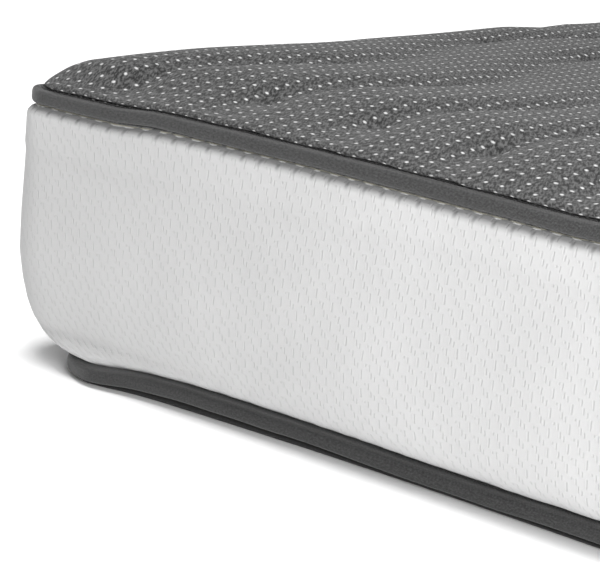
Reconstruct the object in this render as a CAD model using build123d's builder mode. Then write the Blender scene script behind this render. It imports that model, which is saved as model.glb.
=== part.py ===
"""Memory foam mattress: two foam slabs in a knitted cover with taped edges.

Origin at the middle of the underside, +X along the length, +Y across, +Z up.
All sizes are in millimetres.
"""
from build123d import *
import os

# Overall size, measured over the widest bulge of the border
LENGTH = 1900.0
WIDTH = 900.0
SEAM_HEIGHT = 200.0
OVERALL_HEIGHT = 222.0
FOAM_JOINT_HEIGHT = 163.0

# Cloth and filling thicknesses
BORDER_CLOTH = 1.6
BORDER_LINING = 1.0
SOCK_CLOTH = 1.0
BASE_CLOTH = 2.0
PANEL_CLOTH = 1.6
BACKING_CLOTH = 0.8
WADDING_AT_SEAM = 2.0
BACKING_CROWN_HEIGHT = 205.6
BACKING_SETBACK = 6.0

# Edge tapes: insets run inwards from the widest outline of the border
TAPE_WALL = 2.4
TAPE_ROUNDING = 3.5
TOP_TAPE_INSET = 9.5
TOP_TAPE_DEPTH = 12.0
TOP_TAPE_HEIGHT = 11.0
TOP_TAPE_CORNER = 22.0
BASE_TAPE_INSET = 22.0
BASE_TAPE_DEPTH = 14.0
BASE_TAPE_LEVEL = 5.0
BASE_TAPE_HEIGHT = 10.0
BASE_TAPE_CORNER = 64.0

# Seam thread, laid as a flat line on the tape's legs
THREAD_WIDTH = 1.2
THREAD_HEIGHT = 0.8
THREAD_SETBACK = 5.0

# Levels of the seam allowances gripped by the two tapes, worked out layer by layer
TOP_TAPE_BASE = SEAM_HEIGHT - TOP_TAPE_HEIGHT
TOP_STACK = BORDER_CLOTH + BORDER_LINING + BACKING_CLOTH + WADDING_AT_SEAM + PANEL_CLOTH
TOP_GROOVE_BASE = TOP_TAPE_BASE + (TOP_TAPE_HEIGHT - TOP_STACK) / 2
LINING_FLANGE_BASE = TOP_GROOVE_BASE + BORDER_CLOTH
BACKING_FLANGE_BASE = LINING_FLANGE_BASE + BORDER_LINING
WADDING_FLANGE_BASE = BACKING_FLANGE_BASE + BACKING_CLOTH
PANEL_FLANGE_BASE = WADDING_FLANGE_BASE + WADDING_AT_SEAM
BASE_STACK = BASE_CLOTH + BORDER_LINING + BORDER_CLOTH
BASE_TAPE_HEAD = BASE_TAPE_LEVEL + BASE_TAPE_HEIGHT
BASE_GROOVE_BASE = BASE_TAPE_LEVEL + (BASE_TAPE_HEIGHT - BASE_STACK) / 2
BASE_LINING_LEVEL = BASE_GROOVE_BASE + BASE_CLOTH
BASE_BORDER_LEVEL = BASE_LINING_LEVEL + BORDER_LINING

# Insets of the tapes' open inner edges, where the cloth leaves them
TOP_SEAM_INSET = TOP_TAPE_INSET + TOP_TAPE_DEPTH
TOP_SEAM_CORNER = TOP_TAPE_CORNER - TOP_TAPE_DEPTH
BASE_SEAM_INSET = BASE_TAPE_INSET + BASE_TAPE_DEPTH
BASE_SEAM_CORNER = BASE_TAPE_CORNER - BASE_TAPE_DEPTH

# The border's bulge between the tapes: height, inset and plan corner radius
BULGE = [
    (18.0, 26.0, 54.0),
    (21.0, 18.5, 52.0),
    (25.0, 13.0, 51.0),
    (33.0, 8.0, 51.0),
    (45.0, 4.0, 50.0),
    (60.0, 1.4, 49.0),
    (80.0, 0.0, 46.0),
    (110.0, 0.8, 42.0),
    (138.0, 2.6, 37.0),
    (160.0, 5.0, 30.0),
    (177.0, 8.0, 21.0),
]

# The crown of the quilted panel: share of its rise, inset and plan corner radius
CROWN = [
    (0.0, TOP_SEAM_INSET, TOP_SEAM_CORNER),
    (0.16, TOP_SEAM_INSET, TOP_SEAM_CORNER),
    (0.38, TOP_SEAM_INSET - 2.0, TOP_SEAM_CORNER + 5.0),
    (0.65, TOP_SEAM_INSET + 1.0, TOP_SEAM_CORNER + 8.0),
    (0.85, TOP_SEAM_INSET + 9.0, TOP_SEAM_CORNER + 10.0),
    (0.96, TOP_SEAM_INSET + 25.0, TOP_SEAM_CORNER + 14.0),
    (1.0, TOP_SEAM_INSET + 54.0, TOP_SEAM_CORNER + 20.0),
]

os.makedirs("parts", exist_ok=True)


def side_outlines(gap, foot, head):
    """Outlines of a layer that lies a gap inside the border's face, from foot to head."""
    below = [(foot, BASE_SEAM_INSET, BASE_SEAM_CORNER)]
    below.append((BASE_TAPE_HEAD, BASE_SEAM_INSET, BASE_SEAM_CORNER))
    above = [(TOP_TAPE_BASE, TOP_SEAM_INSET, TOP_SEAM_CORNER)]
    if head > TOP_TAPE_BASE:
        above.append((head, TOP_SEAM_INSET, TOP_SEAM_CORNER))
    return [(z, inset + gap, corner - gap) for z, inset, corner in below + BULGE + above]


def crown_outlines(gap, foot, head):
    """Outlines of a crowned layer that lies a gap inside the panel's face, from foot to head."""
    rise = head - foot
    return [(foot + share * rise, inset + gap, corner - gap) for share, inset, corner in CROWN]


def body_through(outlines):
    """Closed body through rounded rectangles given by height, inset and corner radius."""
    with BuildPart() as body:
        for z, inset, corner in outlines:
            with BuildSketch(Plane.XY.offset(z)):
                RectangleRounded(LENGTH - 2 * inset, WIDTH - 2 * inset, corner)
        loft(ruled=True)
    return body.part


def ring_between(outer_inset, inner_inset, corner, z, height):
    """Flat ring with parallel rounded-rectangle edges; the corner is the outer edge's radius."""
    depth = inner_inset - outer_inset
    with BuildPart() as ring:
        with BuildSketch(Plane.XY.offset(z)):
            RectangleRounded(LENGTH - 2 * outer_inset, WIDTH - 2 * outer_inset, corner)
            RectangleRounded(
                LENGTH - 2 * inner_inset, WIDTH - 2 * inner_inset, corner - depth, mode=Mode.SUBTRACT
            )
        extrude(amount=height)
    return ring.part


def top_flange(z, height, gap):
    """Seam allowance in the top tape, reaching from its groove to a gap behind the seam."""
    outer = TOP_TAPE_INSET + TAPE_WALL
    return ring_between(outer, TOP_SEAM_INSET + gap, TOP_TAPE_CORNER - TAPE_WALL, z, height)


def base_flange(z, height, gap):
    """Seam allowance in the base tape, reaching from its groove to a gap behind the seam."""
    outer = BASE_TAPE_INSET + TAPE_WALL
    return ring_between(outer, BASE_SEAM_INSET + gap, BASE_TAPE_CORNER - TAPE_WALL, z, height)


def thread_line(seam_inset, seam_corner, z):
    """Flat line of stitches a setback outside a seam."""
    inset = seam_inset - THREAD_SETBACK
    return ring_between(inset, inset + THREAD_WIDTH, seam_corner + THREAD_SETBACK, z, THREAD_HEIGHT)


def outer_rims(ring):
    """Outer edges of a flat ring's lowest and highest faces."""
    ends = ring.faces().sort_by(Axis.Z)
    return ends[0].outer_wire().edges() + ends[-1].outer_wire().edges()


# Nested bodies whose differences are the layers of the cover
border_body = body_through(side_outlines(0, BASE_BORDER_LEVEL, LINING_FLANGE_BASE))
lining_gap = BORDER_CLOTH
lining_body = body_through(side_outlines(lining_gap, BASE_LINING_LEVEL, BACKING_FLANGE_BASE))
cavity_gap = lining_gap + BORDER_LINING
cavity_body = body_through(side_outlines(cavity_gap, 0, SEAM_HEIGHT))

panel_body = body_through(crown_outlines(0, PANEL_FLANGE_BASE, OVERALL_HEIGHT))
wadding_head = OVERALL_HEIGHT - PANEL_CLOTH
wadding_body = body_through(crown_outlines(PANEL_CLOTH, WADDING_FLANGE_BASE, wadding_head))
backing_gap = BACKING_SETBACK
backing_body = body_through(crown_outlines(backing_gap, BACKING_FLANGE_BASE, BACKING_CROWN_HEIGHT))
under_gap = backing_gap + BACKING_CLOTH
under_head = BACKING_CROWN_HEIGHT - BACKING_CLOTH
under_body = body_through(crown_outlines(under_gap, BACKING_FLANGE_BASE, under_head))

sock_outlines = side_outlines(cavity_gap, BASE_CLOTH, TOP_TAPE_BASE)
sock_outlines += crown_outlines(under_gap, BACKING_FLANGE_BASE, under_head)
sock_body = body_through(sock_outlines)
foam_outlines = side_outlines(cavity_gap + SOCK_CLOTH, BASE_CLOTH + SOCK_CLOTH, TOP_TAPE_BASE)
foam_outlines += crown_outlines(under_gap + SOCK_CLOTH, BACKING_FLANGE_BASE, under_head - SOCK_CLOTH)
foam_body = body_through(foam_outlines)

# Firm foam block that carries the load
with BuildPart() as support_core:
    add(foam_body)
    split(bisect_by=Plane.XY.offset(FOAM_JOINT_HEIGHT), keep=Keep.BOTTOM)
support_core.part.label = "support_core"
export_step(support_core.part, "parts/support_core.step")

# Slow-recovery comfort slab bonded on top of the core
with BuildPart() as memory_foam_layer:
    add(foam_body)
    split(bisect_by=Plane.XY.offset(FOAM_JOINT_HEIGHT), keep=Keep.TOP)
memory_foam_layer.part.label = "memory_foam_layer"
export_step(memory_foam_layer.part, "parts/memory_foam_layer.step")

# Stretch sleeve closed around both foams
with BuildPart() as inner_sock:
    add(sock_body)
    add(foam_body, mode=Mode.SUBTRACT)
inner_sock.part.label = "inner_sock"
export_step(inner_sock.part, "parts/inner_sock.step")

# Base cloth: a shallow tray whose rim turns out into the base tape
with BuildPart() as bottom_panel:
    with BuildSketch():
        RectangleRounded(LENGTH - 2 * BASE_SEAM_INSET, WIDTH - 2 * BASE_SEAM_INSET, BASE_SEAM_CORNER)
    extrude(amount=BASE_LINING_LEVEL)
    with BuildSketch(Plane.XY.offset(BASE_CLOTH)):
        tray_inset = BASE_SEAM_INSET + BASE_CLOTH
        RectangleRounded(LENGTH - 2 * tray_inset, WIDTH - 2 * tray_inset, BASE_SEAM_CORNER - BASE_CLOTH)
    extrude(amount=BASE_LINING_LEVEL - BASE_CLOTH, mode=Mode.SUBTRACT)
    add(base_flange(BASE_GROOVE_BASE, BASE_CLOTH, BASE_CLOTH))
bottom_panel.part.label = "bottom_panel"
export_step(bottom_panel.part, "parts/bottom_panel.step")

# Knitted border: a bulging band with its raw edges turned out into both tapes
with BuildPart() as border_fabric:
    add(border_body)
    add(top_flange(TOP_GROOVE_BASE, BORDER_CLOTH, BORDER_CLOTH))
    add(base_flange(BASE_BORDER_LEVEL, BORDER_CLOTH, BORDER_CLOTH))
    add(cavity_body, mode=Mode.SUBTRACT)
    add(lining_body, mode=Mode.SUBTRACT)
border_fabric.part.label = "border_fabric"
export_step(border_fabric.part, "parts/border_fabric.step")

# Backing laminated behind the border
with BuildPart() as border_lining:
    add(lining_body)
    add(top_flange(LINING_FLANGE_BASE, BORDER_LINING, cavity_gap))
    add(base_flange(BASE_LINING_LEVEL, BORDER_LINING, cavity_gap))
    add(cavity_body, mode=Mode.SUBTRACT)
border_lining.part.label = "border_lining"
export_step(border_lining.part, "parts/border_lining.step")

# Non-woven sheet that the quilting is sewn through
with BuildPart() as quilt_backing:
    add(backing_body)
    add(top_flange(BACKING_FLANGE_BASE, BACKING_CLOTH, under_gap))
    add(under_body, mode=Mode.SUBTRACT)
quilt_backing.part.label = "quilt_backing"
export_step(quilt_backing.part, "parts/quilt_backing.step")

# Fibre filling of the quilted panel
with BuildPart() as quilt_wadding:
    add(wadding_body)
    add(top_flange(WADDING_FLANGE_BASE, WADDING_AT_SEAM, BACKING_SETBACK))
    add(backing_body, mode=Mode.SUBTRACT)
quilt_wadding.part.label = "quilt_wadding"
export_step(quilt_wadding.part, "parts/quilt_wadding.step")

# Knitted top panel, crowned over the filling
with BuildPart() as top_panel:
    add(panel_body)
    add(top_flange(PANEL_FLANGE_BASE, PANEL_CLOTH, PANEL_CLOTH))
    add(wadding_body, mode=Mode.SUBTRACT)
top_panel.part.label = "top_panel"
export_step(top_panel.part, "parts/top_panel.step")

# Top binding: a U-section ring open inwards, round the panel's and border's edges
with BuildPart() as top_edge_tape:
    add(ring_between(TOP_TAPE_INSET, TOP_SEAM_INSET, TOP_TAPE_CORNER, TOP_TAPE_BASE, TOP_TAPE_HEIGHT))
    fillet(outer_rims(top_edge_tape.part), radius=TAPE_ROUNDING)
    add(top_flange(TOP_GROOVE_BASE, TOP_STACK, 0), mode=Mode.SUBTRACT)
top_edge_tape.part.label = "top_edge_tape"
export_step(top_edge_tape.part, "parts/top_edge_tape.step")

# Base binding: the same section round the border's and base cloth's edges
with BuildPart() as bottom_edge_tape:
    base_ring = (BASE_TAPE_INSET, BASE_SEAM_INSET, BASE_TAPE_CORNER)
    add(ring_between(*base_ring, BASE_TAPE_LEVEL, BASE_TAPE_HEIGHT))
    fillet(outer_rims(bottom_edge_tape.part), radius=TAPE_ROUNDING)
    add(base_flange(BASE_GROOVE_BASE, BASE_STACK, 0), mode=Mode.SUBTRACT)
bottom_edge_tape.part.label = "bottom_edge_tape"
export_step(bottom_edge_tape.part, "parts/bottom_edge_tape.step")

# Chain stitch of the top seam: one line on the upper leg of the tape, one under the lower leg
with BuildPart() as top_seam_thread:
    for level in (SEAM_HEIGHT, TOP_TAPE_BASE - THREAD_HEIGHT):
        add(thread_line(TOP_SEAM_INSET, TOP_SEAM_CORNER, level))
top_seam_thread.part.label = "top_seam_thread"
export_step(top_seam_thread.part, "parts/top_seam_thread.step")

# Chain stitch of the base seam, on the upper leg of the tape
with BuildPart() as bottom_seam_thread:
    add(thread_line(BASE_SEAM_INSET, BASE_SEAM_CORNER, BASE_TAPE_HEAD))
bottom_seam_thread.part.label = "bottom_seam_thread"
export_step(bottom_seam_thread.part, "parts/bottom_seam_thread.step")
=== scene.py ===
"""Memory foam mattress: cloth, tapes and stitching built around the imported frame.

Metres, +X along the length, +Y across, +Z up, origin at the middle of the underside.
"""
import math

import bmesh
import bpy
import numpy as np
from mathutils import Matrix, Vector
from mathutils.bvhtree import BVHTree


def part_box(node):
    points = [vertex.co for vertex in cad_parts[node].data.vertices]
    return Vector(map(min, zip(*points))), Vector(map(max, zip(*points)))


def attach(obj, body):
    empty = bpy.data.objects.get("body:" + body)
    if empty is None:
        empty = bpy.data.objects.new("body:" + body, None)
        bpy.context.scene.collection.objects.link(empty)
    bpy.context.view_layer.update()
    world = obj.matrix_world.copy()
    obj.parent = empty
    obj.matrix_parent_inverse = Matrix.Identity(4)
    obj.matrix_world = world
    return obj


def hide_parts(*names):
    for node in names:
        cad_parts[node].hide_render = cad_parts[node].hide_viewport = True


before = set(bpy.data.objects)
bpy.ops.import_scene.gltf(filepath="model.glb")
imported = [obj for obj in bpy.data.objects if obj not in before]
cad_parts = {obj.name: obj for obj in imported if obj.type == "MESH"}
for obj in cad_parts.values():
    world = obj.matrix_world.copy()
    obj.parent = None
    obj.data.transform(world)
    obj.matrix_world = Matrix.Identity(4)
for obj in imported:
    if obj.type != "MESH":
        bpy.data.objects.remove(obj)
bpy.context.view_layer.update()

MM = 0.001

# ---------------------------------------------------------------- places, from the frame
BORDER_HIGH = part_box("border_fabric")[1]
PANEL_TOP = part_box("top_panel")[1].z
TOP_TAPE_LOW, TOP_TAPE_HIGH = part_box("top_edge_tape")
BASE_TAPE_LOW, BASE_TAPE_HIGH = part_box("bottom_edge_tape")
CORE_LOW, CORE_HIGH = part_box("support_core")
MEMORY_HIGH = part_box("memory_foam_layer")[1]

HALF_LENGTH = BORDER_HIGH.x
HALF_WIDTH = BORDER_HIGH.y
TOP_TAPE_INSET = HALF_LENGTH - TOP_TAPE_HIGH.x
BASE_TAPE_INSET = HALF_LENGTH - BASE_TAPE_HIGH.x
FOAM_JOINT = CORE_HIGH.z

# ---------------------------------------------------------------- sizes of the cloths, tapes and threads
BORDER_THICK = 1.6 * MM
LINING_THICK = 0.8 * MM
LINING_GAP = 1.7 * MM
PANEL_THICK = 1.4 * MM
BACKING_THICK = 0.7 * MM
BASE_THICK = 1.8 * MM
SOCK_THICK = 0.8 * MM
STITCH_PITCH = 4.4 * MM
STITCH_LENGTH = 3.6 * MM
THREAD_THICK = 0.8 * MM
THREAD_PROUD = 0.2 * MM
TOP_STITCH_INSET = 7.6 * MM
BASE_STITCH_INSET = 9.6 * MM
WIDEST_CORNER = 48 * MM
TOP_TAPE_CORNER = 22 * MM
TOP_TAPE_DEPTH = 12 * MM
BASE_TAPE_CORNER = 64 * MM
BASE_TAPE_DEPTH = 14 * MM
TOP_FOLD = 2.0 * MM
BASE_FOLD = 2.7 * MM
TOP_SEAM_INSET = TOP_TAPE_INSET + TOP_TAPE_DEPTH
TOP_SEAM_CORNER = TOP_TAPE_CORNER - TOP_TAPE_DEPTH
BASE_SEAM_INSET = BASE_TAPE_INSET + BASE_TAPE_DEPTH
BASE_SEAM_CORNER = BASE_TAPE_CORNER - BASE_TAPE_DEPTH
SLIP_REACH = 250 * MM
# Heights of the seam allowances in the two tapes
BORDER_LEVELS = (12.2 * MM, 191.1 * MM)
LINING_LEVELS = (10.6 * MM, 192.8 * MM)
BORDER_ROWS = 64

# Border bulge between the tapes: height, inset and plan corner radius in millimetres
BULGE = [(19.0, 26.0, 54.0), (22.0, 18.5, 52.0), (26.0, 13.0, 51.0), (33.0, 8.0, 51.0), (45.0, 4.0, 50.0),
         (60.0, 1.4, 49.0), (80.0, 0.0, 46.0), (110.0, 0.8, 42.0), (138.0, 2.6, 37.0), (160.0, 5.0, 30.0),
         (177.0, 8.0, 21.0), (183.0, 8.6, 20.0), (187.5, 11.0, 18.0)]

# Quilting rows run across the width as waves, one behind the other along the length
ROW_SPACING = 95 * MM
ROW_START = 275 * MM
ROW_SWAY = 40 * MM
WAVE_LENGTH = 420 * MM
WAVE_START = 70 * MM
PILLOW_DEPTH = 5.0 * MM

# The underside's rim stands off the floor along the sides and sinks towards it at the corners
CORNER_SINK = 2.4 * MM
SINK_REACH = 70 * MM
SINK_RUN = 55 * MM
CORNER_TUCK = 26 * MM
CORNER_JUT = 8 * MM
JUT_RUN = 200 * MM
SIDE_JUT = 15 * MM
SIDE_LIFT = 2.5 * MM
LIFT_PLACE, LIFT_RUN = 250 * MM, 110 * MM
RIM_WANDER, RIM_WANDER_SCALE = 1.2 * MM, 130 * MM
FULL_SINK_HEIGHT = 6 * MM
# Where each kind of settling starts to fade, and over what run: inwards, upwards, or from the front
RIM_REACH, RIM_FADE = 38 * MM, 26 * MM
SINK_TOP, SINK_FADE = 20 * MM, 45 * MM
TUCK_TOP, TUCK_FADE = 17 * MM, 16 * MM
FRONT_REACH, FRONT_FADE = 40 * MM, 60 * MM
SWAY_BOTTOM, SWAY_FADE = 155 * MM, 30 * MM

# Slow sway of the top tape along the front side: place from the left corner and rise, in millimetres
TAPE_SWAY = [(0, 0), (50, -0.9), (107, -1.2), (140, 1.6), (205, 2.2), (270, 1.8), (357, 0.4), (439, -1.0),
             (481, -1.5), (560, 0)]
# Rise of the pillows' crest along the left end: place from the front side and rise, in millimetres
CREST_SWAY = [(20, 0.0), (50, 2.0), (100, 2.0), (250, 1.5), (330, 0.0), (450, 0.8), (560, 1.5), (612, -1.5),
              (650, 1.5), (720, 2.5), (800, 2.0)]
GATHER_PITCH = 14.05 * MM


# ---------------------------------------------------------------- numbers that wander
def smooth_noise(values, scale, seed):
    """Seeded one-dimensional noise from -1 to 1, with bumps about one scale long."""
    x = np.asarray(values) / scale
    cell = np.floor(x).astype(int)
    part = x - cell
    part = part * part * (3 - 2 * part)
    table = np.random.default_rng(seed).uniform(-1, 1, 4096)
    return table[cell % 4096] * (1 - part) + table[(cell + 1) % 4096] * part


def smooth_field(x, y, scale, seed):
    """Seeded two-dimensional noise from -1 to 1, with bumps about one scale across."""
    u, v = np.asarray(x) / scale, np.asarray(y) / scale
    i, j = np.floor(u).astype(int), np.floor(v).astype(int)
    fu, fv = u - i, v - j
    fu, fv = fu * fu * (3 - 2 * fu), fv * fv * (3 - 2 * fv)
    table = np.random.default_rng(seed).uniform(-1, 1, (256, 256))
    low = table[i % 256, j % 256] * (1 - fu) + table[(i + 1) % 256, j % 256] * fu
    high = table[i % 256, (j + 1) % 256] * (1 - fu) + table[(i + 1) % 256, (j + 1) % 256] * fu
    return low * (1 - fv) + high * fv


def smoothstep(value):
    """0 up to 0, 1 from 1, and a smooth rise between."""
    value = np.clip(value, 0, 1)
    return value * value * (3 - 2 * value)


def fading(value, start, run):
    """1 up to the start, and a smooth fall to 0 over the run."""
    return 1 - smoothstep((value - start) / run)


def bell(value, width):
    """1 at 0, and a smooth fall to both sides."""
    return np.exp(-((value / width) ** 2))


def rounded(knots, heights):
    """Knots (height, ...) joined by straight runs, then softened, read at the given heights."""
    table = np.array(knots, float) * MM
    step = 0.25 * MM
    fine = np.arange(table[0, 0] - 30 * MM, table[-1, 0] + 30 * MM, step)
    spread = np.exp(-((np.arange(-60, 61) * step / (2.2 * MM)) ** 2) / 2)
    spread /= spread.sum()
    read = []
    for column in table.T[1:]:
        line = np.interp(fine, table[:, 0], column)
        read.append(np.interp(heights, fine, np.convolve(line, spread, "same")))
    return read


def section_length(insets, heights):
    """Cloth measured along a section, from its first end."""
    steps = np.hypot(np.diff(insets), np.diff(heights))
    return np.concatenate([[0.0], np.cumsum(steps)])


def softened(knots, count, width):
    """Knots in millimetres joined by straight runs, read at even steps and softened over some of them."""
    knots = np.array(knots) * MM
    run = section_length(knots[:, 0], knots[:, 1])
    even = np.linspace(0, run[-1], count)
    reach = int(3 * width)
    weights = np.exp(-((np.arange(-reach, reach + 1) / width) ** 2) / 2)
    weights /= weights.sum()
    read = []
    for column in knots.T:
        padded = np.pad(np.interp(even, run, column), reach, "reflect", reflect_type="odd")
        read.append(np.convolve(padded, weights, "valid"))
    return read


# ---------------------------------------------------------------- columns round the outline
class Columns:
    """Stations round the mattress. Each keeps its core corner, its slip weight and its normal."""

    def __init__(self, side_step, arc_steps):
        half = np.array([HALF_LENGTH - WIDEST_CORNER, HALF_WIDTH - WIDEST_CORNER])
        core, slip, normal = [], [], []
        for quarter in range(4):
            turn = math.pi / 2 * quarter
            along, out = self.turned(turn, 0.0, 1.0), self.turned(turn, 1.0, 0.0)
            reach = half[1] if quarter % 2 == 0 else half[0]
            depth = half[0] if quarter % 2 == 0 else half[1]
            steps = int(round(2 * reach / side_step))
            for place in np.linspace(-reach, reach, steps + 1)[:-1]:
                weight = float(smoothstep((abs(place) - reach + SLIP_REACH) / SLIP_REACH))
                core.append(out * depth + along * place)
                slip.append(out + along * math.copysign(weight, place))
                normal.append(out)
            for angle in np.linspace(0, math.pi / 2, arc_steps + 1)[:-1]:
                core.append(out * depth + along * reach)
                slip.append(out + along)
                normal.append(self.turned(turn + angle, 1.0, 0.0))
        self.core, self.slip, self.normal = np.array(core), np.array(slip), np.array(normal)
        middle = self.outline(0.0, WIDEST_CORNER)
        gaps = np.linalg.norm(np.roll(middle, -1, 0) - middle, axis=1)
        self.place = np.concatenate([[0.0], np.cumsum(gaps)[:-1]])
        self.around = float(gaps.sum())

    @staticmethod
    def turned(angle, x, y):
        """A plan vector turned by an angle."""
        c, s = math.cos(angle), math.sin(angle)
        return np.array([c * x - s * y, s * x + c * y])

    def outline(self, inset, corner):
        """Points of the outline at an inset, with a plan corner radius."""
        inset, corner = np.asarray(inset)[..., None], np.asarray(corner)[..., None]
        return self.core + self.slip * (WIDEST_CORNER - inset - corner) + self.normal * corner

    def band(self, insets, heights, corners, relief=None):
        """Points of a band round the mattress: one row for each place in its section."""
        plan = self.outline(insets[:, None], corners[:, None])
        if relief is not None:
            plan = plan + self.normal[None] * relief[..., None]
        level = heights[:, None, None] if heights.ndim == 1 else heights[..., None]
        return np.concatenate([plan, np.broadcast_to(level, plan.shape[:2] + (1,))], -1)


def settled(points):
    """Points after the cover has settled: rims that sink, jut and sway a little, as sewn cloth does.

    The base's rim is sunk at the corners, drawn in along the length there and pushed out across the
    width. The top rim sways along the front side.
    """
    x, y, z = points[..., 0], points[..., 1], points[..., 2]
    in_x, in_y = HALF_LENGTH - np.abs(x), HALF_WIDTH - np.abs(y)
    from_corner = np.hypot(in_x, in_y)
    corner = bell(np.clip(from_corner - SINK_REACH, 0, None), SINK_RUN)
    wider = bell(np.clip(from_corner - SINK_REACH, 0, None), JUT_RUN)
    near_rim = fading(np.minimum(in_x, in_y), RIM_REACH, RIM_FADE)
    low = near_rim * fading(z, SINK_TOP, SINK_FADE)
    beyond = bell(from_corner - LIFT_PLACE, LIFT_RUN)
    wander = RIM_WANDER * smooth_field(x, y, RIM_WANDER_SCALE, 61)
    sink = -CORNER_SINK * corner + SIDE_LIFT * beyond + wander * (1 - corner)
    sink = sink * np.clip(z / FULL_SINK_HEIGHT, 0, 1)
    place, rise = np.array(TAPE_SWAY).T * MM
    front = fading(y + HALF_WIDTH, FRONT_REACH, FRONT_FADE)
    sway = np.interp(x + HALF_LENGTH, place, rise) * front * smoothstep((z - SWAY_BOTTOM) / SWAY_FADE)
    tucked = near_rim * fading(z, TUCK_TOP, TUCK_FADE)
    moved_x = x - np.sign(x) * CORNER_TUCK * corner * tucked
    moved_y = y + np.sign(y) * (CORNER_JUT * corner + SIDE_JUT * wider) * tucked
    return np.stack([moved_x, moved_y, np.maximum(z + sink * low + sway, 0.0)], -1)


# ---------------------------------------------------------------- meshes
def make_mesh(name, points, faces, uvs, material):
    """A new piece from points, quads and one UV for each point, or one for each face corner."""
    mesh = bpy.data.meshes.new(name)
    mesh.from_pydata(points.reshape(-1, 3).tolist(), [], faces.tolist())
    layer = mesh.uv_layers.new(name="cloth")
    loops = np.empty(len(mesh.loops), np.int64)
    mesh.loops.foreach_get("vertex_index", loops)
    flat = uvs[loops] if len(uvs) != len(loops) else uvs
    layer.data.foreach_set("uv", flat.astype(np.float32).ravel())
    mesh.polygons.foreach_set("use_smooth", np.ones(len(mesh.polygons), bool))
    mesh.materials.append(material)
    mesh.update()
    piece = bpy.data.objects.new(name, mesh)
    bpy.context.scene.collection.objects.link(piece)
    return piece


def ring_faces(rows, columns):
    """Quads of a grid that closes round its columns, as vertex indices."""
    row, column = np.mgrid[0:rows - 1, 0:columns]
    after = (column + 1) % columns
    quads = np.stack([row * columns + column, row * columns + after,
                      (row + 1) * columns + after, (row + 1) * columns + column], -1)
    return quads.reshape(-1, 4)


def ring_piece(name, points, places, around, widths, material):
    """A closed band from rows of points. places and widths are its cloth measures, for the UVs."""
    rows, columns = points.shape[:2]
    faces = ring_faces(rows, columns)
    row, column = np.mgrid[0:rows - 1, 0:columns]
    ends = np.concatenate([places, [around]])
    left, right = ends[column], ends[column + 1]
    low, high = widths[row, column], widths[row + 1, column]
    uvs = np.stack([np.stack([left, low], -1), np.stack([right, low], -1),
                    np.stack([right, high], -1), np.stack([left, high], -1)], 2)
    return make_mesh(name, points, faces, uvs.reshape(-1, 2), material)


def thicken(piece, thickness):
    """Gives a cloth its thickness, inwards from the face that shows."""
    solid = piece.modifiers.new("thickness", "SOLIDIFY")
    solid.thickness = thickness
    solid.offset = -1
    return piece


def mend(piece, repair):
    """Makes one repair to a mesh and turns its faces outwards."""
    bm = bmesh.new()
    bm.from_mesh(piece.data)
    repair(bm)
    bmesh.ops.recalc_face_normals(bm, faces=bm.faces)
    bm.to_mesh(piece.data)
    bm.free()


def join_doubled_points(bm):
    bmesh.ops.remove_doubles(bm, verts=bm.verts, dist=1e-6)


def close_ends(bm):
    bmesh.ops.holes_fill(bm, edges=bm.edges)


def finish_piece(piece, node):
    """Puts a piece on the mattress's body, in place of the CAD node it stands for."""
    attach(piece, "root")
    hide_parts(node)
    return piece


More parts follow.
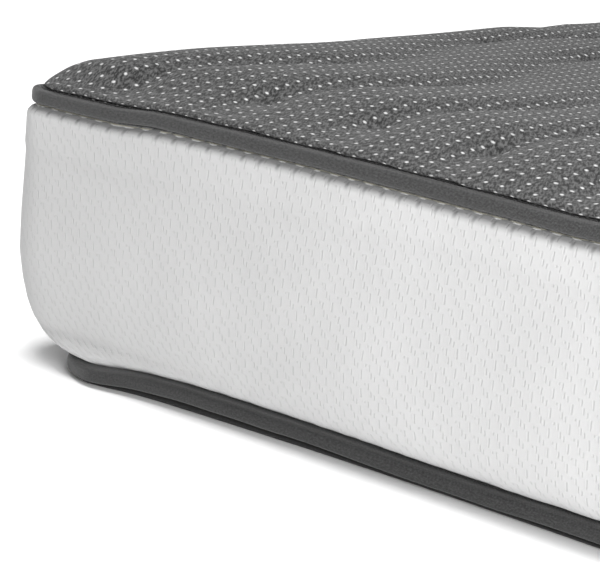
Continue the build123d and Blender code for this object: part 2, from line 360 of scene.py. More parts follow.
# ---------------------------------------------------------------- materials
class Nodes:
    """Short calls for building one material's node tree."""

    def __init__(self, name):
        self.material = bpy.data.materials.new(name)
        self.material.use_nodes = True
        self.tree = self.material.node_tree
        self.shader = self.tree.nodes["Principled BSDF"]

    def new(self, kind, **settings):
        node = self.tree.nodes.new(kind)
        for key, value in settings.items():
            setattr(node, key, value)
        return node

    def link(self, source, target):
        self.tree.links.new(source, target)

    def feed(self, socket, value):
        """Sets a socket to a constant, or links another socket to it."""
        if isinstance(value, (int, float, tuple)):
            socket.default_value = value
        else:
            self.link(value, socket)

    def math(self, operation, a, b=0.0, c=0.0):
        node = self.new("ShaderNodeMath", operation=operation)
        for socket, value in zip(node.inputs, (a, b, c)):
            self.feed(socket, value)
        return node.outputs[0]

    def plus(self, a, b):
        return self.math("ADD", a, b)

    def minus(self, a, b):
        return self.math("SUBTRACT", a, b)

    def times(self, a, b):
        return self.math("MULTIPLY", a, b)

    def wave(self, value, period):
        return self.math("SINE", self.times(value, 2 * math.pi / period))

    def span(self, value, start, end, low, high, shape="LINEAR"):
        """A value mapped from one range to another, and held at its ends."""
        node = self.new("ShaderNodeMapRange", interpolation_type=shape)
        for key, number in (("From Min", start), ("From Max", end), ("To Min", low), ("To Max", high)):
            node.inputs[key].default_value = number
        self.feed(node.inputs["Value"], value)
        return node.outputs["Result"]

    def fall(self, value, start, end):
        """1 below start, 0 above end, smooth between."""
        return self.span(value, start, end, 1.0, 0.0, "SMOOTHSTEP")

    def grey(self, value):
        """A colour with the value in all three channels."""
        combine = self.new("ShaderNodeCombineColor")
        for channel in range(3):
            self.link(value, combine.inputs[channel])
        return combine.outputs[0]

    def mix(self, factor, a, b, blend="MIX"):
        node = self.new("ShaderNodeMix", data_type="RGBA", blend_type=blend)
        self.feed(node.inputs[0], factor)
        self.feed(node.inputs[6], a)
        self.feed(node.inputs[7], b)
        return node.outputs[2]

    def cloth_place(self):
        """Places along and up the cloth in millimetres, and the cloth's coordinates in metres."""
        uv = self.new("ShaderNodeUVMap", uv_map="cloth").outputs[0]
        split = self.new("ShaderNodeSeparateXYZ")
        self.link(uv, split.inputs[0])
        return self.times(split.outputs[0], 1 / MM), self.times(split.outputs[1], 1 / MM), uv

    def stretched(self, vector, x, y, turn=0.0):
        """Coordinates turned by degrees in the cloth's plane, then scaled along both axes."""
        turned = self.new("ShaderNodeVectorRotate", rotation_type="Z_AXIS")
        turned.inputs["Angle"].default_value = math.radians(turn)
        self.link(vector, turned.inputs["Vector"])
        scaled = self.new("ShaderNodeMapping")
        scaled.inputs["Scale"].default_value = (x, y, 1.0)
        self.link(turned.outputs[0], scaled.inputs["Vector"])
        return scaled.outputs[0]

    def noise(self, vector, scale, detail=2.0, rough=0.5):
        node = self.new("ShaderNodeTexNoise")
        node.inputs["Scale"].default_value = scale
        node.inputs["Detail"].default_value = detail
        node.inputs["Roughness"].default_value = rough
        self.feed(node.inputs["Vector"], vector)
        return node.outputs["Fac"]

    def bump(self, height, distance, strength):
        node = self.new("ShaderNodeBump")
        node.inputs["Distance"].default_value = distance
        node.inputs["Strength"].default_value = strength
        self.feed(node.inputs["Height"], height)
        return node.outputs[0]

    def finish(self, color, normal, rough, sheen=0.0):
        """Connects the shader and gives the finished material."""
        self.feed(self.shader.inputs["Base Color"], color)
        self.feed(self.shader.inputs["Roughness"], rough)
        self.shader.inputs["Specular IOR Level"].default_value = 0.3
        self.shader.inputs["Sheen Weight"].default_value = sheen
        self.shader.inputs["Sheen Roughness"].default_value = 0.5
        if normal is not None:
            self.link(normal, self.shader.inputs["Normal"])
        return self.material


def greys(level):
    """A grey as a colour socket takes it."""
    return (level, level, level, 1.0)


# Border pattern in millimetres: a cell with its dashes (across, up, half height), repeated half a cell off
DASH_CELL = (28.1, 12.3)
DASHES = [
    (0.0, 0.0, 3.0),
    (8.0, 0.8, 2.0),
    (10.7, -0.8, 1.6),
    (17.4, 0.8, 0.7),
    (20.1, -0.6, 2.0),
]
DOT_CELL = (12.0, 10.8)


def repeated(nodes, value, centre, period):
    """Signed distance from the nearest repeat of a centre."""
    shifted = nodes.minus(value, centre)
    return nodes.math("WRAP", shifted, period / 2, -period / 2)


def border_knit(head):
    """White double knit: sunken dashes, faint wales and tucks gathered under its upper seam, with painted
    shade in the dashes, in a band under the seam and at each tuck.

    The head is the length of cloth below that seam. Sizes in the pattern are millimetres.
    """
    n = Nodes("border_knit")
    along, up, uv = n.cloth_place()
    wobble = n.times(n.minus(n.noise(uv, 90.0, 1.0), 0.5), 1.6)
    along_dash = n.plus(along, wobble)
    sunk, swell = None, None
    for half in (0.0, 0.5):
        for across, rise, reach in DASHES:
            du = n.math("ABSOLUTE", repeated(n, along_dash, across + half * DASH_CELL[0], DASH_CELL[0]))
            dv = n.math("ABSOLUTE", repeated(n, up, rise + half * DASH_CELL[1], DASH_CELL[1]))
            dash = n.times(n.fall(du, 0.1, 1.0), n.fall(dv, reach - 0.5, reach + 0.6))
            rim = n.times(n.fall(du, 0.7, 2.4), n.fall(dv, reach - 0.5, reach + 2.0))
            sunk = dash if sunk is None else n.math("MAXIMUM", sunk, dash)
            swell = rim if swell is None else n.math("MAXIMUM", swell, rim)
    fine = n.times(n.plus(n.wave(along, 1.2), n.wave(up, 0.9)), 0.035)
    grain = n.times(n.noise(uv, 1400.0, 2.0), 0.18)
    height = n.plus(n.plus(fine, grain), n.times(swell, 0.45))
    height = n.minus(height, n.times(sunk, 1.1))
    patchy = n.span(n.noise(uv, 9.0, 2.0), 0.3, 0.7, 0.45, 0.49)
    # Painted shade: the sunken dashes are coloured 7% darker, as the shade inside their dimples.
    shade = n.times(patchy, n.minus(1.0, n.times(sunk, 0.07)))
    # Painted shadow: one dark spot just under the upper seam at each gather, coloured up to 35% darker.
    pitch = GATHER_PITCH / MM
    beside = n.math("ABSOLUTE", repeated(n, along_dash, 0.75 * pitch, pitch))
    below = n.math("ABSOLUTE", n.minus(up, head / MM - 12.5))
    tuck = n.times(n.fall(beside, 0.3, 2.2), n.fall(below, 0.5, 4.5))
    shade = n.times(shade, n.minus(1.0, n.times(tuck, 0.35)))
    # Painted shade: the knit is coloured up to 40% darker within about 11 to 17 mm of the upper seam, as the
    # shade under the tape.
    drawn = n.fall(n.minus(head / MM, up), 11.0, 17.0)
    shade = n.times(shade, n.minus(1.0, n.times(drawn, 0.4)))
    return n.finish(n.grey(shade), n.bump(height, 0.4 * MM, 0.7), 0.9, 0.15)


def top_knit():
    """Heathered charcoal knit with raised pale dots in straight rows."""
    n = Nodes("top_knit")
    along, up, uv = n.cloth_place()
    wander = n.times(n.minus(n.noise(uv, 60.0, 1.0), 0.5), 1.4)
    along_dot, up_dot = n.plus(along, wander), n.plus(up, wander)
    du = repeated(n, along_dot, 0.0, DOT_CELL[0])
    dv = repeated(n, up_dot, 0.0, DOT_CELL[1])
    far = n.math("SQRT", n.plus(n.times(du, du), n.times(dv, dv)))
    dots = n.fall(far, 0.6, 1.9)
    fleck = n.noise(n.stretched(uv, 600.0, 200.0, turn=-25.0), 1.0, 2.0, 0.6)
    cross = n.noise(n.stretched(uv, 420.0, 200.0, turn=20.0), 1.0, 2.0, 0.6)
    weave = n.plus(n.times(fleck, 0.65), n.times(cross, 0.35))
    ground = n.span(weave, 0.44, 0.58, 0.009, 0.092)
    pale = n.span(weave, 0.35, 0.65, 0.34, 0.60)
    color = n.mix(dots, n.grey(ground), n.grey(pale))
    height = n.plus(weave, n.times(dots, 0.8))
    return n.finish(color, n.bump(height, 0.3 * MM, 0.6), 0.88, 0.12)


def binding(name, low, high):
    """Woven tape: fine ribs across it, a twill drift and a slight sheen."""
    n = Nodes(name)
    along, up, uv = n.cloth_place()
    drift = n.plus(along, n.times(up, 0.6))
    ribs = n.wave(drift, 1.1)
    picks = n.wave(up, 0.8)
    lint = n.noise(n.stretched(uv, 420.0, 900.0), 1.0, 3.0, 0.7)
    height = n.plus(n.times(ribs, 0.12), n.times(picks, 0.10))
    height = n.plus(height, lint)
    level = n.span(height, 0.38, 0.72, low, high)
    return n.finish(n.grey(level), n.bump(height, 0.3 * MM, 0.8), 0.75, 0.25)


def plain_cloth(name, level, weave_mm, contrast):
    """Plain cloth or non-woven of one tone, with a weave of the given pitch in millimetres."""
    n = Nodes(name)
    along, up, uv = n.cloth_place()
    weave = n.times(n.wave(along, weave_mm), n.wave(up, weave_mm))
    fuzz = n.noise(uv, 600.0, 3.0, 0.6)
    height = n.plus(n.times(weave, 0.25), fuzz)
    tone = n.span(height, 0.2, 0.9, level * (1 - contrast), level * (1 + contrast))
    return n.finish(n.grey(tone), n.bump(height, 0.3 * MM, 0.7), 0.9, 0.1)


def foam(name, tint, pore_scale):
    """Open-cell foam: small pores of uneven size in a matt, slightly warm solid."""
    n = Nodes(name)
    place = n.new("ShaderNodeTexCoord").outputs["Object"]
    cells = n.new("ShaderNodeTexVoronoi")
    cells.inputs["Scale"].default_value = pore_scale
    n.link(place, cells.inputs["Vector"])
    pores = n.fall(cells.outputs["Distance"], 0.15, 0.55)
    tone = n.span(n.noise(place, 14.0, 3.0), 0.3, 0.7, 0.93, 1.0)
    # Painted shade: the pores are coloured darker, as the shade inside them.
    dark = tuple(0.72 * part for part in tint) + (1.0,)
    color = n.mix(n.times(pores, 0.5), tint + (1.0,), dark)
    color = n.mix(1.0, color, n.grey(tone), "MULTIPLY")
    return n.finish(color, n.bump(n.minus(1.0, pores), 0.4 * MM, 0.6), 0.95)


def sewing_thread():
    """Dark spun thread with a fine twist."""
    n = Nodes("thread")
    place = n.new("ShaderNodeTexCoord").outputs["Object"]
    twist = n.noise(place, 2200.0, 2.0)
    tone = n.span(twist, 0.3, 0.7, 0.035, 0.09)
    return n.finish(n.grey(tone), n.bump(twist, 0.2 * MM, 0.6), 0.6, 0.1)


# ---------------------------------------------------------------- border
def side_section(gap, steps):
    """Insets, heights and corners of a layer a gap behind the border's face, tape to tape."""
    low, high = BASE_TAPE_HIGH.z, TOP_TAPE_LOW.z
    knots = [(low / MM, BASE_SEAM_INSET / MM, BASE_SEAM_CORNER / MM)] + BULGE
    knots += [(high / MM, TOP_SEAM_INSET / MM, TOP_SEAM_CORNER / MM)]
    ends = 0.5 - 0.5 * np.cos(np.linspace(0, math.pi, steps))
    heights = low + (high - low) * (0.35 * ends + 0.65 * np.linspace(0, 1, steps))
    insets, corners = rounded(knots, heights)
    for end, knot in ((0, knots[0]), (-1, knots[-1])):
        near = np.exp(-np.abs(heights - heights[end]) / (1.5 * MM))
        insets = insets + (knot[1] * MM - insets[end]) * near
    return insets + gap, heights, corners - gap


def border_relief(place, height):
    """How far the border stands out of its plain section: bulges, the foam joint and gathers."""
    s, z = np.meshgrid(place, height)
    low, high = BASE_TAPE_HIGH.z, TOP_TAPE_LOW.z
    below, above = z - low, high - z
    middle = smoothstep(below / (40 * MM)) * smoothstep(above / (40 * MM))
    relief = (1.2 * smooth_noise(s, 330 * MM, 3) - 1.2) * MM * middle
    relief += 0.7 * MM * smooth_field(s, z, 70 * MM, 4) * middle
    joint = FOAM_JOINT - 5 * MM + 3.5 * MM * smooth_noise(s, 160 * MM, 5)
    away = z - joint
    swell = 1.5 * MM * (0.8 + 0.3 * smooth_noise(s, 90 * MM, 6)) / (1 + np.exp(-away / (1.1 * MM)))
    relief += swell * np.exp(-np.clip(away, 0, None) / (12 * MM))
    gather = np.sin(2 * math.pi * s / GATHER_PITCH)
    relief += 0.8 * MM * gather * np.exp(-above / (7 * MM)) * (0.7 + 0.3 * smooth_noise(s, 45 * MM, 8))
    pleats = smooth_noise(s - 0.8 * below, 7 * MM, 9)
    relief += 1.2 * MM * pleats * np.exp(-below / (10 * MM)) * smoothstep(below / (3 * MM))
    return relief


def with_flanges(section, base_level, top_level):
    """Adds the seam allowances that turn out into the two tapes at the given heights."""
    insets, heights, corners = section
    base_out, top_out = BASE_TAPE_INSET + BASE_FOLD, TOP_TAPE_INSET + TOP_FOLD
    turn = 1 * MM
    insets = np.concatenate([[base_out, insets[0] - turn, insets[0]], insets,
                             [insets[-1], insets[-1] - turn, top_out]])
    heights = np.concatenate([[base_level, base_level, base_level + turn], heights,
                              [top_level - turn, top_level, top_level]])
    corners = np.concatenate([[BASE_TAPE_CORNER - BASE_FOLD, corners[0] + turn, corners[0]], corners,
                              [corners[-1], corners[-1] + turn, TOP_TAPE_CORNER - TOP_FOLD]])
    return insets, heights, corners


def border_head():
    """Cloth between the end of the border's lower flange and its upper seam."""
    insets, heights, corners = with_flanges(side_section(0.0, BORDER_ROWS), *BORDER_LEVELS)
    return float(section_length(insets, heights)[-4])


def make_side_cloth(name, node, gap, thickness, levels, material):
    """A cloth that runs round the four sides, from the seam in one tape to the seam in the other."""
    section = side_section(gap, BORDER_ROWS)
    relief = border_relief(columns.place, section[1])
    insets, heights, corners = with_flanges(section, *levels)
    relief = np.pad(relief, ((3, 3), (0, 0)))
    points = settled(columns.band(insets, heights, corners, relief))
    up = section_length(insets, heights)
    widths = np.broadcast_to(up[:, None], points.shape[:2])
    piece = ring_piece(name, points, columns.place, columns.around, widths, material)
    thicken(piece, thickness)
    return finish_piece(piece, node)


# ---------------------------------------------------------------- tapes
def tape_section(inset, depth, low, high, wall, ridge):
    """Closed U of folded tape: from the lower leg over the ridge to the upper leg, and back inside.

    The ridge is the share of the height at which the tape stands out furthest.
    """
    height = high - low
    crest = low + ridge * height
    nose = 0.35 * depth
    outer = [(inset + depth, low), (inset + 0.8 * depth, low)]
    for share in np.linspace(0, 1, 19):
        level = low + share * height
        reach = (crest - low) if level < crest else (high - crest)
        outer.append((inset + nose * (1 - (1 - (abs(level - crest) / reach) ** 3) ** (1 / 3)), level))
    outer += [(inset + 0.63 * depth, high - 0.5 * MM), (inset + 0.8 * depth, high + 0.2 * MM)]
    outer += [(inset + depth, high - 0.1 * MM)]
    fold = inset + wall
    middle = (low + high) / 2
    inner = [(inset + depth, high - wall), (fold + 1.5 * MM, high - wall), (fold + 0.5 * MM, middle)]
    inner += [(fold + 1.5 * MM, low + wall), (inset + depth, low + wall)]
    insets, heights = np.array(outer + inner).T
    return insets, heights, len(outer)


def make_tape(name, node, box, inset, depth, corner, wall, ridge, seed, sway, material):
    """A tape round the mattress that sways and swells a little. Gives its top and bottom heights."""
    low, high = box[0].z, box[1].z
    insets, heights, shown = tape_section(inset, depth, low, high, wall, ridge)
    corners = corner - (insets - inset)
    middle = (low + high) / 2
    place = columns.place
    lift = sway * smooth_noise(place, 85 * MM, seed)
    lift += 0.5 * sway * smooth_noise(place, 31 * MM, seed + 1)
    fat = 1 + 0.07 * smooth_noise(place, 48 * MM, seed + 2)
    push = 0.5 * MM * smooth_noise(place, 40 * MM, seed + 3)
    level = middle + (heights[:, None] - middle) * fat[None] + lift[None]
    level = np.maximum(level, 0.0)
    relief = np.broadcast_to(push[None], level.shape)
    points = settled(columns.band(insets, level, corners, relief))
    points = np.concatenate([points, points[:1]])
    up = section_length(np.append(insets, insets[0]), np.append(heights, heights[0]))
    widths = np.broadcast_to(up[:, None], points.shape[:2])
    piece = ring_piece(name, points, place, columns.around, widths, material)
    mend(piece, join_doubled_points)
    finish_piece(piece, node)
    return points[..., 2].max(0), points[..., 2].min(0)


# ---------------------------------------------------------------- flat layers with rounded edges
class Spread:
    """A cloth laid over the whole plan, whose edge follows a section down to its seam.

    The section's knots are inset from the seam and height, in millimetres, from the outside in.
    """

    def __init__(self, knots, seam_inset, seam_corner, fine, coarse):
        self.inset, self.rise = softened(knots, 600, 12.0)
        self.length = section_length(self.inset, self.rise)
        self.slack = self.length[-1] - self.inset[-1]
        self.allowance = -self.inset[0]
        self.rim = self.length[-1] + 3 * MM
        self.corner = seam_corner + self.slack
        self.half = np.array([HALF_LENGTH, HALF_WIDTH]) - seam_inset + self.slack
        self.x, self.y = np.meshgrid(*(self.lines(half, fine, coarse) for half in self.half))
        self.lay()

    def lines(self, half, fine, coarse):
        """Grid lines across the cloth: fine in the rims, coarser between them."""
        rim = np.linspace(0, self.rim, int(self.rim / fine) + 1)
        count = int(2 * (half - self.rim) / coarse)
        middle = np.linspace(self.rim - half, half - self.rim, count + 1)[1:-1]
        return np.concatenate([rim - half, middle, (half - rim)[::-1]])

    def lay(self):
        """Rounds the grid's corners, and works out each point's plan, rise and distance from the seam."""
        flat = np.stack([self.x, self.y], -1)
        inside = np.minimum(np.abs(flat), self.half - self.rim)
        over = np.abs(flat) - inside
        reach = over.max(-1)
        corner = np.minimum(reach, np.maximum(self.corner - 0.25 * (self.rim - reach), 2 * MM))
        side, start = over.min(-1), reach - corner
        turned = side > start
        angle = np.where(turned, (side - start) / np.maximum(corner, 1e-9) * math.pi / 4, 0.0)
        long = start + corner * np.cos(angle)
        short = np.where(turned, start + corner * np.sin(angle), side)
        first = (over[..., 0] >= over[..., 1])[..., None]
        moved = np.where(first, np.stack([long, short], -1), np.stack([short, long], -1))
        lean = np.where(first, np.stack([np.cos(angle), np.sin(angle)], -1),
                        np.stack([np.sin(angle), np.cos(angle)], -1))
        lean = lean * np.sign(flat)
        self.place = np.sign(flat) * (inside + moved)
        edge = self.rim - reach
        inset = np.interp(edge, self.length, self.inset)
        inset = np.where(edge > self.length[-1], edge - self.slack, inset)
        self.plan = self.place + lean * (edge - self.slack - inset)[..., None]
        self.rises = np.interp(edge, self.length, self.rise)
        self.from_seam = edge - self.allowance

    def points(self, z):
        return np.concatenate([self.plan, z[..., None]], -1)

    def faces(self):
        rows, cols = self.x.shape
        row, col = np.mgrid[0:rows - 1, 0:cols - 1]
        first = row * cols + col
        return np.stack([first, first + 1, first + cols + 1, first + cols], -1).reshape(-1, 4)

    def rim_order(self):
        """Indices of the outermost points, one way round."""
        rows, cols = self.x.shape
        index = np.arange(rows * cols).reshape(rows, cols)
        return np.concatenate([index[0, :-1], index[:-1, -1], index[-1, :0:-1], index[:0:-1, 0]])


# Sections of the cloths over and under the foam: inset from the seam, and height over the tape or the floor
PANEL_SECTION = [(-9.0, -2.0), (0.0, -2.0), (-0.6, 1.0), (-5.0, 1.6), (-8.6, 2.4), (-9.6, 4.5), (-8.0, 8.0),
                 (-3.0, 12.0), (7.0, 16.0), (20.0, 19.0), (36.0, 21.2), (60.0, 22.0)]
WADDING_SECTION = [(-9.0, -3.6), (0.0, -3.6), (1.0, -1.0), (3.0, 3.0), (7.0, 8.0), (14.0, 13.5), (24.0, 17.0),
                   (38.0, 19.4), (60.0, 20.3)]
BACKING_SECTION = [(-9.0, -5.7), (2.5, -5.7), (3.5, -3.5), (8.0, 1.5), (16.0, 3.8), (31.0, 5.0), (54.0, 5.4)]
BASE_SECTION = [(-11.0, 7.8), (-1.0, 7.8), (0.6, 6.2), (-1.0, 4.9), (-6.0, 4.5), (-8.6, 3.5), (-9.4, 2.0),
                (-8.0, 0.6), (-5.0, 0.1), (6.0, 0.0), (40.0, 0.0)]


def quilt(x, y):
    """Fullness of the pillows between rows, tucks at the rows' turns, and wrinkles beside the rows."""
    from_end, from_side = x + HALF_LENGTH, y + HALF_WIDTH
    turn = 2 * math.pi * (from_side - WAVE_START) / WAVE_LENGTH
    sway = ROW_SWAY * (0.5 - 0.5 * np.cos(turn)) + 5 * MM * smooth_noise(from_side, 130 * MM, 21)
    row = (from_end - ROW_START - sway) / ROW_SPACING
    number = np.round(row).astype(int)
    away = np.abs(row - number) * ROW_SPACING
    pillow = 1 - bell(away, 17 * MM)
    turns = from_side - WAVE_START + 14 * MM * smooth_noise(number * 1.0, 1.0, 25)
    near = np.abs((turns + WAVE_LENGTH / 2) % WAVE_LENGTH - WAVE_LENGTH / 2)
    tuck = bell(away, 7 * MM) * bell(near, 16 * MM)
    gather = 0.35 + 0.65 * bell(near, 40 * MM)
    ripples = smooth_noise(from_side + 37 * MM * number, 7 * MM, 22)
    ripples = ripples * gather * np.exp(-away / (12 * MM)) * smoothstep(away / (3 * MM))
    return pillow, tuck, ripples


def held_down(spread):
    """Rises of the crowned cloth: full along the ends, drawn flatter towards the long sides."""
    inset = np.array([HALF_LENGTH, HALF_WIDTH]) - TOP_SEAM_INSET - np.abs(spread.place)
    run = 40 * MM + 85 * MM * smoothstep((inset[..., 0] - 40 * MM) / (120 * MM))
    fullness = 0.38 + 0.62 * smoothstep(inset[..., 1] / run)
    return np.minimum(spread.rises, 1.5 * MM) + np.maximum(spread.rises - 1.5 * MM, 0.0) * fullness


def panel_height(spread):
    """Heights of the quilted face, kept clear of the backing beneath it."""
    under = Spread(BACKING_SECTION, TOP_SEAM_INSET, TOP_SEAM_CORNER, 4 * MM, 12 * MM)
    inset = (np.array([HALF_LENGTH, HALF_WIDTH]) - TOP_SEAM_INSET - np.abs(spread.plan)).min(-1)
    floor = np.interp(inset, under.inset, under.rise) + 2.4 * MM
    face = held_down(spread) + quilted_height(spread)
    clear = (face + floor + np.hypot(face - floor, 1.2 * MM)) / 2
    over_tape = smoothstep((spread.from_seam - 14 * MM) / (8 * MM))
    return TOP_TAPE_HIGH.z + face + (clear - face) * over_tape


def quilted_height(spread):
    """Height of the quilted face over the plain crowned one, at each point of its grid."""
    x, y = spread.place[..., 0], spread.place[..., 1]
    from_seam = spread.from_seam
    pillow, tuck, ripples = quilt(x, y)
    held = smoothstep((from_seam - 14 * MM) / (40 * MM))
    height = -PILLOW_DEPTH * (1 - pillow) - 5.0 * MM * tuck + 1.5 * MM * pillow
    height += 2.2 * MM * smooth_field(x, y, 140 * MM, 23)
    crest, rise = np.array(CREST_SWAY).T * MM
    along_end = bell(x + HALF_LENGTH - 45 * MM, 60 * MM) * smoothstep(from_seam / (15 * MM))
    height = height * held + np.interp(y + HALF_WIDTH, crest, rise) * along_end
    height += 1.0 * MM * ripples * smoothstep((from_seam - 6 * MM) / (20 * MM))
    pinch = smooth_noise(x + y, 16 * MM, 24)
    return height + 0.8 * MM * pinch * bell(from_seam - 8 * MM, 8 * MM)


def lay_cloth(name, node, spread, heights, faces, thickness, material):
    """A cloth piece from a spread and the heights of its points."""
    piece = make_mesh(name, settled(spread.points(heights)), faces, spread.place.reshape(-1, 2), material)
    thicken(piece, thickness)
    return finish_piece(piece, node)


def make_panel(material):
    """The quilted knit that shows on top."""
    spread = Spread(PANEL_SECTION, TOP_SEAM_INSET, TOP_SEAM_CORNER, 2.4 * MM, 4.5 * MM)
    piece = lay_cloth("top_panel_cloth", "top_panel", spread, panel_height(spread),
                      spread.faces(), PANEL_THICK, material)
    return piece


def beneath(points, piece, gap):
    """Lowers points until each has at least the gap between it and the piece's face above."""
    tree = BVHTree.FromObject(piece, bpy.context.evaluated_depsgraph_get())
    overhead = 2 * PANEL_TOP
    lowered = points.copy()
    for index in np.ndindex(points.shape[:2]):
        x, y, z = (float(value) for value in points[index])
        hit = tree.ray_cast((x, y, overhead), (0.0, 0.0, -1.0))[0]
        if hit is not None:
            lowered[index][2] = min(z, hit.z - gap)
    return lowered


def make_wadding(panel, material):
    """The fibre fill between the panel and the backing, thin at the seam and full over the middle."""
    over = Spread(WADDING_SECTION, TOP_SEAM_INSET, TOP_SEAM_CORNER, 4 * MM, 8 * MM)
    face = beneath(settled(over.points(panel_height(over))), panel, 2.2 * MM)
    under = Spread(BACKING_SECTION, TOP_SEAM_INSET, TOP_SEAM_CORNER, 5 * MM, 9 * MM)
    share = np.clip(over.from_seam / (60 * MM), 0, 1)
    back_z = np.interp(over.from_seam, under.length - under.allowance, under.rise)
    back = np.concatenate([face[..., :2], (TOP_TAPE_HIGH.z + back_z + 0.9 * MM)[..., None]], -1)
    back = settled(back)
    back[..., 2] = np.minimum(back[..., 2], face[..., 2] - (0.6 + 1.4 * share) * MM)
    count = over.x.size
    faces = over.faces()
    order = over.rim_order()
    after = np.roll(order, -1)
    wall = np.stack([order, order + count, after + count, after], -1)
    every = np.concatenate([faces, faces[:, ::-1] + count, wall])
    uvs = np.tile(over.place.reshape(-1, 2), (2, 1))
    points = np.concatenate([face.reshape(-1, 3), back.reshape(-1, 3)])
    piece = make_mesh("quilt_wadding_fill", points, every, uvs, material)
    return finish_piece(piece, "quilt_wadding")


def make_backing(material):
    """The sheet that the quilting is sewn through."""
    spread = Spread(BACKING_SECTION, TOP_SEAM_INSET, TOP_SEAM_CORNER, 4 * MM, 12 * MM)
    piece = lay_cloth("quilt_backing_cloth", "quilt_backing", spread,
                      TOP_TAPE_HIGH.z + spread.rises, spread.faces(), BACKING_THICK, material)


def make_base(material):
    """The cloth under the mattress, with its outer face down and a few shallow slack ripples."""
    spread = Spread(BASE_SECTION, BASE_SEAM_INSET, BASE_SEAM_CORNER, 4 * MM, 9 * MM)
    x, y = spread.place[..., 0], spread.place[..., 1]
    slack = 0.6 * MM * (1 + smooth_field(x, y, 90 * MM, 51)) * smoothstep(spread.from_seam / (40 * MM))
    piece = lay_cloth("bottom_panel_cloth", "bottom_panel", spread, spread.rises + slack,
                      spread.faces()[:, ::-1], BASE_THICK, material)


# ---------------------------------------------------------------- foam and its sock
def stack_section(gap, floor, roof):
    """Knots of the foam stack's outline a gap behind the border's face, from the underside to the top."""
    base, top = BASE_SEAM_INSET / MM + gap, TOP_SEAM_INSET / MM + gap
    knots = [(60.0, floor, 62.0), (base + 9.0, floor, 66.0), (base + 3.0, floor + 2.0, 69.0)]
    knots += [(base, BASE_TAPE_HIGH.z / MM, BASE_SEAM_CORNER / MM - gap)]
    knots += [(inset + gap, height, corner - gap) for height, inset, corner in BULGE]
    knots += [(top, TOP_TAPE_LOW.z / MM, TOP_SEAM_CORNER / MM - gap), (top + 5.0, roof - 10.0, 20.0)]
    knots += [(top + 13.0, roof - 5.0, 26.0), (top + 29.0, roof - 1.2, 40.0), (82.0, roof, 60.0)]
    return np.array(knots)


def cut_section(knots, low, high):
    """The part of a section between two heights, with flat cut faces."""
    heights = knots[:, 1]
    kept = list(knots[(heights > low) & (heights < high)])
    for height, end in ((low, 0), (high, len(kept) + 1)):
        if heights[0] < height < heights[-1]:
            edge = np.array([np.interp(height, heights, column) for column in knots.T])
            flat = edge + np.array([4.0, 0.0, -4.0])
            kept[end:end] = [flat, edge] if end == 0 else [edge, flat]
        else:
            kept[end:end] = list(knots[heights == height])
    return np.array(kept)


def make_block(name, node, knots, material):
    """A solid inside the cover, closed with flat faces at its first and last rows."""
    insets, heights, corners = softened(knots, 90, 0.8)
    points = settled(stations.band(insets, heights, corners))
    up = section_length(insets, heights)
    widths = np.broadcast_to(up[:, None], points.shape[:2])
    piece = ring_piece(name, points, stations.place, stations.around, widths, material)
    mend(piece, close_ends)
    return finish_piece(piece, node)


def make_foams():
    """The two foam blocks and the knitted sock round both, with gaps behind the border in millimetres."""
    stack = stack_section(3.6, CORE_LOW.z / MM, MEMORY_HIGH.z / MM)
    joint = FOAM_JOINT / MM
    lower, upper = cut_section(stack, stack[0, 1], joint), cut_section(stack, joint, stack[-1, 1])
    core = make_block("support_core_foam", "support_core", lower,
                      foam("support_foam", (0.80, 0.80, 0.78), 900.0))
    memory = make_block("memory_foam_block", "memory_foam_layer", upper,
                        foam("memory_foam", (0.78, 0.75, 0.63), 1300.0))
    sock = make_block("inner_sock_knit", "inner_sock",
                      stack_section(2.6, CORE_LOW.z / MM - 1.0, MEMORY_HIGH.z / MM + 1.0),
                      plain_cloth("sock_knit", 0.72, 2.4, 0.08))
    thicken(sock, SOCK_THICK)


# ---------------------------------------------------------------- stitches
def make_stitches(name, node, paths, material):
    """Separate stitches along paths of points, each a short thread that dips in at both ends."""
    shares = np.array([-1.0, -0.75, 0.0, 0.75, 1.0])
    radii = THREAD_THICK / 2 * np.array([0.5, 1.0, 1.0, 1.0, 0.5])
    sink = -0.8 * THREAD_THICK * np.abs(shares) ** 3
    sides = 6
    angles = np.arange(sides) * math.pi / 3
    points, centres = [], []
    for path in paths:
        run = np.concatenate([[0.0], np.cumsum(np.linalg.norm(np.diff(path, axis=0), axis=1))])
        middles = np.arange(STITCH_PITCH / 2, run[-1] - STITCH_PITCH / 2, STITCH_PITCH)
        at, ahead, behind = (np.stack([np.interp(middles + step, run, column) for column in path.T], -1)
                             for step in (0.0, STITCH_LENGTH / 2, -STITCH_LENGTH / 2))
        tangent = (ahead - behind) / 2
        side = np.cross(tangent, (0.0, 0.0, 1.0))
        side /= np.linalg.norm(side, axis=-1, keepdims=True)
        line = at[:, None] + tangent[:, None] * shares[None, :, None]
        line[..., 2] += sink
        around = side[:, None, None] * np.cos(angles)[None, None, :, None]
        around = around + np.array([0.0, 0.0, 1.0]) * np.sin(angles)[None, None, :, None]
        points.append(line[:, :, None] + around * radii[None, :, None, None])
        centres.append(middles)
    points = np.concatenate(points)
    count = len(shares) * sides
    rings = np.arange(count).reshape(-1, sides)
    after = np.roll(rings, -1, 1)
    quads = np.stack([rings[:-1], after[:-1], after[1:], rings[1:]], -1).reshape(-1, 4)
    first, last = rings[0], rings[-1]
    caps = np.array([first[[3, 2, 1, 0]], first[[5, 4, 3, 0]], last[[0, 1, 2, 3]], last[[0, 3, 4, 5]]])
    one = np.concatenate([quads, caps])
    faces = (one[None] + (np.arange(len(points)) * count)[:, None, None]).reshape(-1, 4)
    along = np.repeat(np.concatenate(centres), count)
    uvs = np.stack([along, np.tile(np.repeat(shares, sides) * STITCH_LENGTH / 2, len(points))], -1)
    piece = make_mesh(name, points, faces, uvs, material)
    return finish_piece(piece, node)


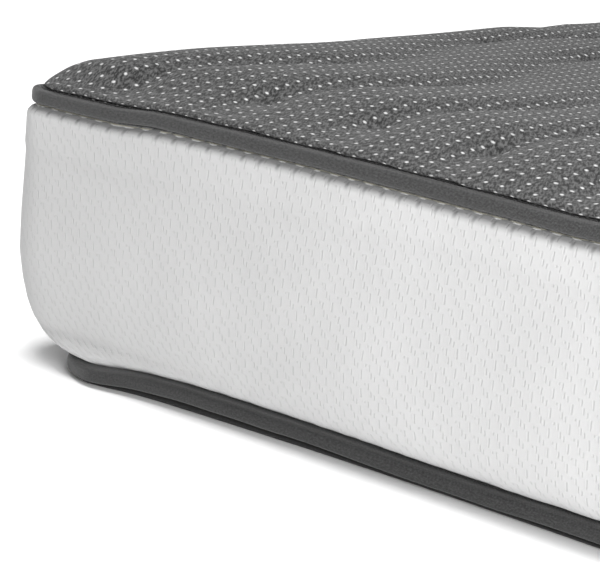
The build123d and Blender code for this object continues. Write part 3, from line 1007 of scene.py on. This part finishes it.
def seam_path(inset, corner, level):
    """A closed line on a tape at an inset, with a height for each column."""
    plan = columns.outline(inset, corner)
    path = np.concatenate([plan, np.broadcast_to(level, len(plan))[:, None]], -1)
    return np.concatenate([path, path[:1]])


def make_seam_threads(top_levels, base_levels, material):
    """Stitches on both faces of the top tape, and on the upper face of the base tape."""
    inset, corner = TOP_TAPE_INSET + TOP_STITCH_INSET, TOP_TAPE_CORNER - TOP_STITCH_INSET
    upper, lower = top_levels[0] + THREAD_PROUD, top_levels[1] - THREAD_PROUD
    paths = [seam_path(inset, corner, upper), seam_path(inset, corner, lower)]
    make_stitches("top_seam_stitches", "top_seam_thread", paths, material)
    inset, corner = BASE_TAPE_INSET + BASE_STITCH_INSET, BASE_TAPE_CORNER - BASE_STITCH_INSET
    paths = [seam_path(inset, corner, base_levels[0] + THREAD_PROUD)]
    make_stitches("bottom_seam_stitches", "bottom_seam_thread", paths, material)


# ---------------------------------------------------------------- build
columns = Columns(4 * MM, 24)
stations = Columns(14 * MM, 12)
lining_cloth = plain_cloth("backing_cloth", 0.70, 1.6, 0.06)

make_side_cloth("border_fabric_cloth", "border_fabric", 0.0, BORDER_THICK, BORDER_LEVELS,
                border_knit(border_head()))
make_side_cloth("border_lining_cloth", "border_lining", LINING_GAP, LINING_THICK,
                LINING_LEVELS, lining_cloth)
top_levels = make_tape("top_edge_tape_binding", "top_edge_tape", (TOP_TAPE_LOW, TOP_TAPE_HIGH),
                       TOP_TAPE_INSET, TOP_TAPE_DEPTH, TOP_TAPE_CORNER, TOP_FOLD, 0.5, 31, 0.4 * MM,
                       binding("edge_binding", 0.012, 0.061))
# The base tape's binding is a slightly darker copy of the top tape's: painted shade for the border's overhang
# above it.
base_levels = make_tape("bottom_edge_tape_binding", "bottom_edge_tape", (BASE_TAPE_LOW, BASE_TAPE_HIGH),
                        BASE_TAPE_INSET, BASE_TAPE_DEPTH, BASE_TAPE_CORNER, BASE_FOLD, 0.3, 41, 0.5 * MM,
                        binding("base_binding", 0.010, 0.055))
panel = make_panel(top_knit())
make_wadding(panel, plain_cloth("wadding", 0.80, 3.0, 0.05))
make_backing(lining_cloth)
# The base cloth's near-black tone is partly its own dark colour and partly painted shade for the gap under
# the base tape.
make_base(plain_cloth("base_cloth", 0.02, 1.4, 0.35))
make_foams()
make_seam_threads(top_levels, base_levels, sewing_thread())

# ---------------------------------------------------------------- stage, light and camera
CAMERA_AZIMUTH = math.radians(38.9)
CAMERA_PITCH = math.radians(14.14)
CAMERA_ROLL = math.radians(5.0)
CAMERA_DISTANCE = 1.330
CAMERA_LENS = 125.1
AIM = (-HALF_LENGTH + 0.2899, -HALF_WIDTH, 0.1167)


def make_camera():
    """Looks along +Y at azimuth 0 and along -X at 90 degrees, pitched down and rolled."""
    level = math.cos(CAMERA_PITCH)
    cosine, sine = math.cos(CAMERA_AZIMUTH), math.sin(CAMERA_AZIMUTH)
    ahead = Vector((-sine * level, cosine * level, -math.sin(CAMERA_PITCH)))
    right = Vector((cosine, sine, 0.0))
    upright = right.cross(ahead)
    side = right * math.cos(CAMERA_ROLL) + upright * math.sin(CAMERA_ROLL)
    up = upright * math.cos(CAMERA_ROLL) - right * math.sin(CAMERA_ROLL)
    turn = Matrix((side, up, -ahead)).transposed().to_4x4()
    camera = bpy.data.objects.new("camera", bpy.data.cameras.new("camera"))
    camera.data.lens = CAMERA_LENS
    camera.data.sensor_width = 36.0
    camera.matrix_world = Matrix.Translation(Vector(AIM) - CAMERA_DISTANCE * ahead) @ turn
    bpy.context.scene.collection.objects.link(camera)
    bpy.context.scene.camera = camera


def make_floor():
    """A plain pale floor that runs out of sight."""
    n = Nodes("floor")
    n.finish(greys(0.96), None, 0.9)
    mesh = bpy.data.meshes.new("floor")
    reach = 12.0
    corners = [(-reach, -reach, 0), (reach, -reach, 0), (reach, reach, 0), (-reach, reach, 0)]
    mesh.from_pydata(corners, [], [(0, 1, 2, 3)])
    mesh.materials.append(n.material)
    floor = bpy.data.objects.new("floor", mesh)
    bpy.context.scene.collection.objects.link(floor)


def make_light(name, place, target, size, power):
    """A soft round lamp aimed at a target."""
    lamp = bpy.data.lights.new(name, "AREA")
    lamp.shape = "DISK"
    lamp.size = size
    lamp.energy = power
    light = bpy.data.objects.new(name, lamp)
    light.location = place
    light.rotation_euler = (Vector(target) - Vector(place)).to_track_quat("-Z", "Y").to_euler()
    bpy.context.scene.collection.objects.link(light)


def make_sun(strength):
    """Even light from straight above, soft enough to leave no edge in the shadows."""
    lamp = bpy.data.lights.new("overhead", "SUN")
    lamp.energy = strength
    lamp.angle = math.radians(36)
    light = bpy.data.objects.new("overhead", lamp)
    light.location = (0.0, 0.0, 4.0)
    bpy.context.scene.collection.objects.link(light)


def make_world(strength):
    """White surroundings that light everything evenly."""
    world = bpy.data.worlds.new("studio")
    bpy.context.scene.world = world
    world.use_nodes = True
    background = world.node_tree.nodes["Background"]
    background.inputs["Color"].default_value = greys(1.0)
    background.inputs["Strength"].default_value = strength


make_camera()
make_floor()
make_world(0.32)
make_sun(3.3)
make_light("key", (0.6, -1.3, 0.6), (0.0, -0.45, 0.1), 0.6, 22.0)
bpy.context.scene.view_settings.view_transform = "Standard"
